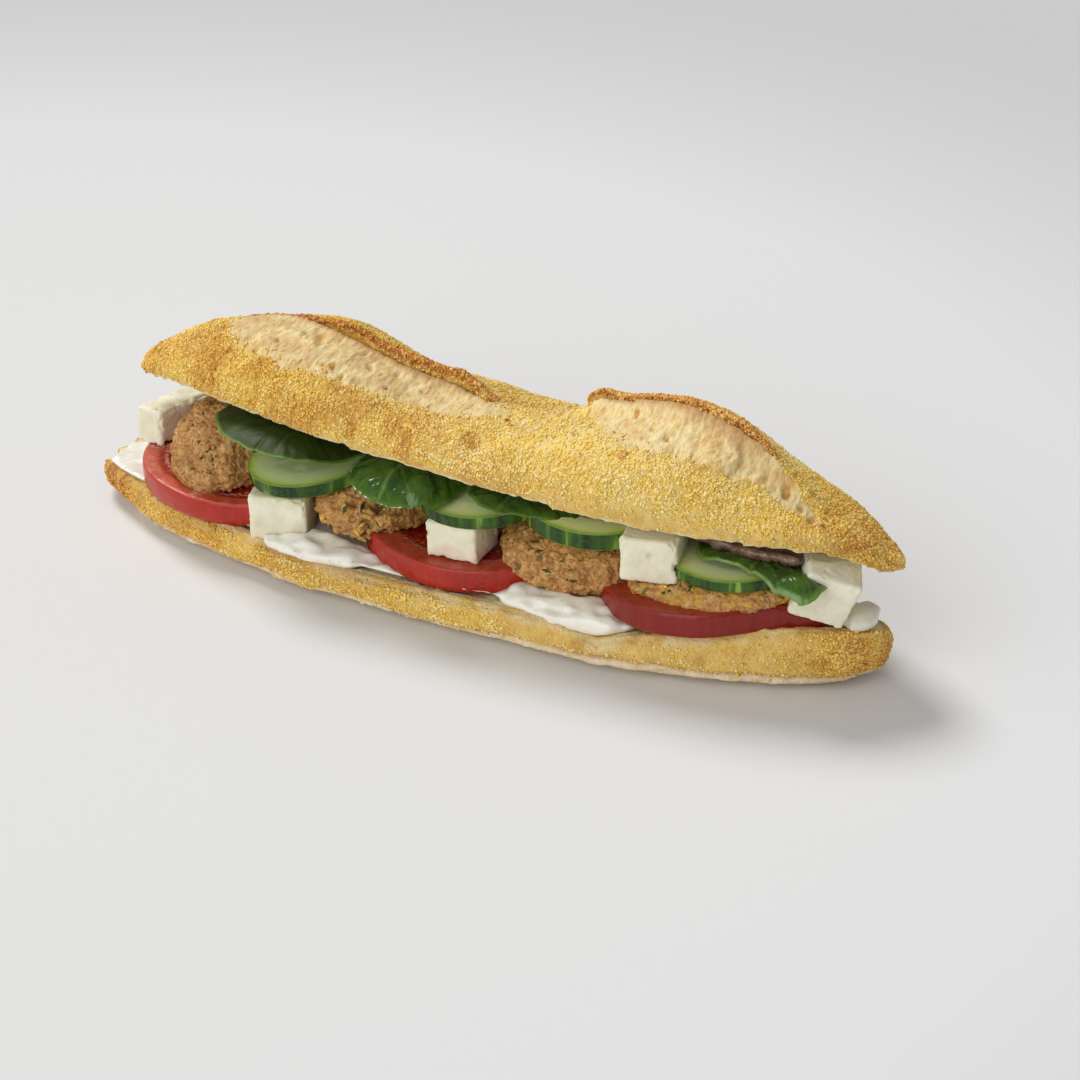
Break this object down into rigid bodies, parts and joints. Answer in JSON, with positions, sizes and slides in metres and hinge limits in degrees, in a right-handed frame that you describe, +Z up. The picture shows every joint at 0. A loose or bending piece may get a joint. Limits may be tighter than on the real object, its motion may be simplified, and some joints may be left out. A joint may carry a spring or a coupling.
{
  "type": "filled baguette sandwich",
  "caption": "Cornmeal-crusted scored baguette, cut lengthwise and filled with vegetable patties, white cheese, tomato, cucumber, spinach and yoghurt sauce.",
  "frame": {"origin": "middle of the base, on the surface that the loaf rests on", "axes": "+X along the loaf to its right end, -Y to the front that shows the filling, +Z up"},
  "size_m": [0.2658, 0.0758, 0.073],
  "materials": {
    "crust": "dry bread crust dusted with coarse cornmeal, pale torn dough in the scores, floured underside",
    "sauce": "wet white yoghurt sauce with fine herb specks",
    "spread": "wet mauve-brown spread",
    "tomato": "wet cut tomato with glossy red skin",
    "patty": "craggy browned vegetable patty with herbs and corn bits",
    "cheese": "moist crumbly white brined cheese with small pits",
    "cucumber": "wet pale green flesh inside dark green skin with light stripes",
    "spinach": "smooth dark green leaf with pale veins"
  },
  "bodies": {
    "root": {"bread_bottom": "crust", "bread_top": "crust", "sauce": "sauce", "spread_top": "spread", "tomato_1": "tomato", "tomato_2": "tomato", "tomato_3": "tomato", "patty_1": "patty", "patty_2": "patty", "patty_3": "patty", "patty_4": "patty", "cheese_1": "cheese", "cheese_2": "cheese", "cheese_3": "cheese", "cheese_4": "cheese", "cheese_5": "cheese", "cheese_6": "cheese", "cheese_7": "cheese", "cucumber_1": "cucumber", "cucumber_2": "cucumber", "cucumber_3": "cucumber", "cucumber_4": "cucumber", "cucumber_5": "cucumber", "cucumber_6": "cucumber", "spinach_1": "spinach", "spinach_2": "spinach", "spinach_3": "spinach", "spinach_4": "spinach"}
  },
  "joints": []
}
